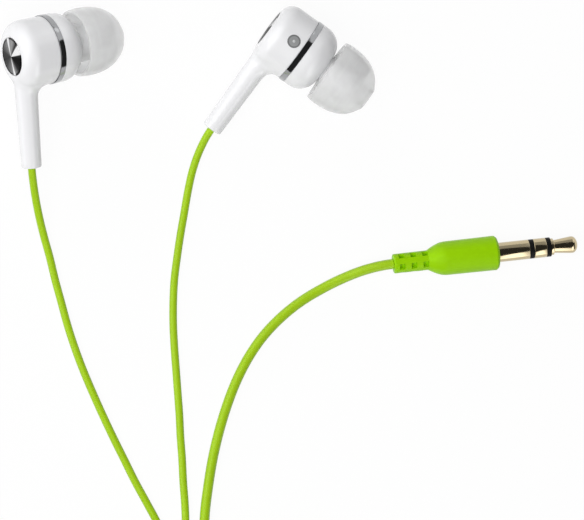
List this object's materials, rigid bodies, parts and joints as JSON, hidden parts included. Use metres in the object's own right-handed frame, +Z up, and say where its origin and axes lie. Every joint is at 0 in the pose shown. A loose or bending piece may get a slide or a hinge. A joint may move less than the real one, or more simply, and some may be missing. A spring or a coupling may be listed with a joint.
{
  "type": "wired in-ear earphones",
  "caption": "Wired in-ear earphones with white housings, silicone tips, green cords, a splitter and a straight 3.5 mm plug.",
  "frame": {"origin": "on the surface that the earphones lie on, below the middle of the box round the two earpieces", "axes": "+Z up, +X from the left earpiece towards the right earpiece and the plug, -Y from the earpieces towards the splitter"},
  "size_m": [0.105, 0.1488, 0.0162],
  "materials": {
    "white_shell": "gloss",
    "spun_metal": "spun",
    "chrome_ring": "mirror",
    "mesh_steel": "satin",
    "clear_silicone": "satin",
    "grey_mark": "satin",
    "driver_plastic": "matt",
    "driver_steel": "satin",
    "copper_wire": "satin",
    "driver_film": "gloss",
    "black_felt": "matt",
    "circuit_board": "satin",
    "red_wire": "satin",
    "crimp_metal": "satin",
    "green_jacket": "satin",
    "green_moulding": "satin",
    "pale_gold": "polished",
    "black_plastic": "satin",
    "ivory_plastic": "satin",
    "tie_plastic": "matt"
  },
  "bodies": {
    "headset": {"left_rear_housing": "white_shell", "left_badge_disc": "spun_metal", "left_trim_ring": "chrome_ring", "left_front_housing": "white_shell", "left_nozzle_mesh": "mesh_steel", "left_side_mark": "grey_mark", "left_driver_frame": "driver_plastic", "left_driver_magnet_system": "driver_steel", "left_surround": "driver_film", "left_driver_cover": "mesh_steel", "left_damping_felt": "black_felt", "left_terminal_board": "circuit_board", "left_lead_wires": "red_wire", "left_cord_anchor": "crimp_metal", "left_cord_tail": "green_jacket", "right_rear_housing": "white_shell", "right_badge_disc": "spun_metal", "right_trim_ring": "chrome_ring", "right_front_housing": "white_shell", "right_nozzle_mesh": "mesh_steel", "right_side_mark": "grey_mark", "right_driver_frame": "driver_plastic", "right_driver_magnet_system": "driver_steel", "right_surround": "driver_film", "right_driver_cover": "mesh_steel", "right_damping_felt": "black_felt", "right_terminal_board": "circuit_board", "right_lead_wires": "red_wire", "right_cord_anchor": "crimp_metal", "right_cord_tail": "green_jacket", "left_cord": "green_jacket", "left_cord_coil": "green_jacket", "left_cord_end": "green_jacket", "right_cord": "green_jacket", "right_cord_coil": "green_jacket", "right_cord_end": "green_jacket", "main_cord": "green_jacket", "main_cord_coil": "green_jacket", "main_cord_end": "green_jacket", "coil_ties": "tie_plastic", "splitter_body": "green_moulding", "splitter_core": "black_plastic", "splitter_cord_ends": "green_jacket", "plug_overmould": "green_moulding", "plug_core": "ivory_plastic", "plug_cord_end": "green_jacket", "plug_sleeve_contact": "pale_gold", "plug_ring_contact": "pale_gold", "plug_tip_contact": "pale_gold", "plug_insulators": "black_plastic"},
    "left_tip": {"left_ear_tip": "clear_silicone"},
    "right_tip": {"right_ear_tip": "clear_silicone"},
    "left_driver_cone": {"left_diaphragm": "driver_film", "left_voice_coil": "copper_wire"},
    "right_driver_cone": {"right_diaphragm": "driver_film", "right_voice_coil": "copper_wire"}
  },
  "joints": [
    {"name": "left_tip_pull", "type": "slide", "parent": "headset", "child": "left_tip", "axis": [0.9248, 0.1915, -0.3289], "range_m": [0, 0.006]},
    {"name": "right_tip_pull", "type": "slide", "parent": "headset", "child": "right_tip", "axis": [0.8094, -0.5837, 0.0645], "range_m": [0, 0.006]},
    {"name": "left_cone_stroke", "type": "slide", "parent": "headset", "child": "left_driver_cone", "axis": [0.9248, 0.1915, -0.3289], "range_m": [-0.00015, 0.00015], "stiffness_N_per_m": 5},
    {"name": "right_cone_stroke", "type": "slide", "parent": "headset", "child": "right_driver_cone", "axis": [0.8094, -0.5837, 0.0645], "range_m": [-0.00015, 0.00015], "stiffness_N_per_m": 5}
  ]
}
